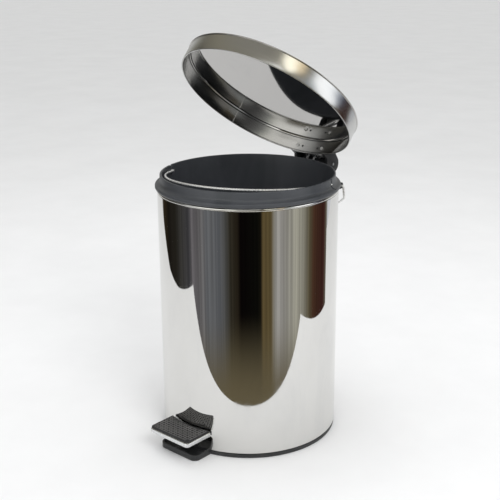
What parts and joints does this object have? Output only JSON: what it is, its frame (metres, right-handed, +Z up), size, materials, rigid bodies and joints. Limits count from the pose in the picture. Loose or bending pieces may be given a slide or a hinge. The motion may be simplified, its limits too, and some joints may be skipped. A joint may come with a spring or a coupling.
{
  "type": "pedal bin",
  "caption": "Round steel pedal bin with a hinged mirror-polished lid, foot pedal, push rod, lift-out plastic bucket with a wire bail, and a rear carrying handle.",
  "frame": {"origin": "on the floor under the middle of the round body, which is also the middle of the bounding box", "axes": "+Z up; the pedal is at -Y, the lid's hinge and the carrying handle are at +Y, +X is the bin's right seen from the front"},
  "size_m": [0.257, 0.3325, 0.5625],
  "materials": {
    "polished_steel": "mirror-polished stainless steel",
    "satin_steel": "satin stainless steel with fine brushing",
    "bright_wire": "bright drawn wire",
    "zinc_steel": "zinc-plated pressed steel",
    "black_plastic": "fine-grained moulded black plastic",
    "bucket_plastic": "dark charcoal moulded plastic, slight sheen",
    "black_rubber": "ribbed black rubber"
  },
  "bodies": {
    "body": {"body_shell": "polished_steel", "base_ring": "black_plastic", "base_plate": "zinc_steel", "base_screw_1": "zinc_steel", "base_screw_2": "zinc_steel", "base_screw_3": "zinc_steel", "lever_bracket": "zinc_steel", "bracket_rivet_1": "zinc_steel", "bracket_rivet_2": "zinc_steel", "lever_pin": "zinc_steel", "hinge_block": "black_plastic", "hinge_screw_left": "zinc_steel", "hinge_screw_right": "zinc_steel", "hinge_pin": "zinc_steel", "handle_clip_left": "black_plastic", "handle_clip_right": "black_plastic", "clip_rivet_left": "satin_steel", "clip_rivet_right": "satin_steel"},
    "lid": {"lid_top": "polished_steel", "lid_band": "satin_steel", "lid_bracket": "black_plastic", "lid_rivet_left": "bright_wire", "lid_rivet_right": "bright_wire"},
    "pedal": {"pedal_lever": "zinc_steel", "pedal_plate": "satin_steel", "pedal_pad": "black_rubber", "pedal_rivet_left": "satin_steel", "pedal_rivet_right": "satin_steel"},
    "rod": {"push_rod": "bright_wire"},
    "bucket": {"bucket": "bucket_plastic"},
    "bail": {"bucket_bail": "bright_wire"},
    "handle": {"carry_handle": "bright_wire"}
  },
  "joints": [
    {"name": "lid_hinge", "type": "hinge", "parent": "body", "child": "lid", "pos_m": [0, 0.153, 0.362], "axis": [-1, 0, 0], "range_deg": [-40.75, 37.25]},
    {"name": "pedal_pivot", "type": "hinge", "parent": "body", "child": "pedal", "pos_m": [0, 0.0385, 0.0155], "axis": [1, 0, 0], "range_deg": [-3.8, 3.5]},
    {"name": "rod_pivot", "type": "hinge", "parent": "lid", "child": "rod", "pos_m": [0, 0.144, 0.373], "axis": [1, 0, 0], "range_deg": [-40.5, 37]},
    {"name": "bucket_turn", "type": "hinge", "parent": "body", "child": "bucket", "pos_m": [0, 0, 0.3534], "axis": [0, 0, 1], "continuous": true},
    {"name": "bail_hinge", "type": "hinge", "parent": "bucket", "child": "bail", "pos_m": [0, 0, 0.3651], "axis": [-0.9466, -0.3223, 0], "range_deg": [0, 169.4]},
    {"name": "handle_hinge", "type": "hinge", "parent": "body", "child": "handle", "pos_m": [0, 0.1035, 0.347], "axis": [1, 0, 0], "range_deg": [0, 20]}
  ],
  "couplings": [
    {"joint": "pedal_pivot", "follows": "lid_hinge", "ratio": 0.0891},
    {"joint": "rod_pivot", "follows": "lid_hinge", "ratio": 0.972}
  ]
}
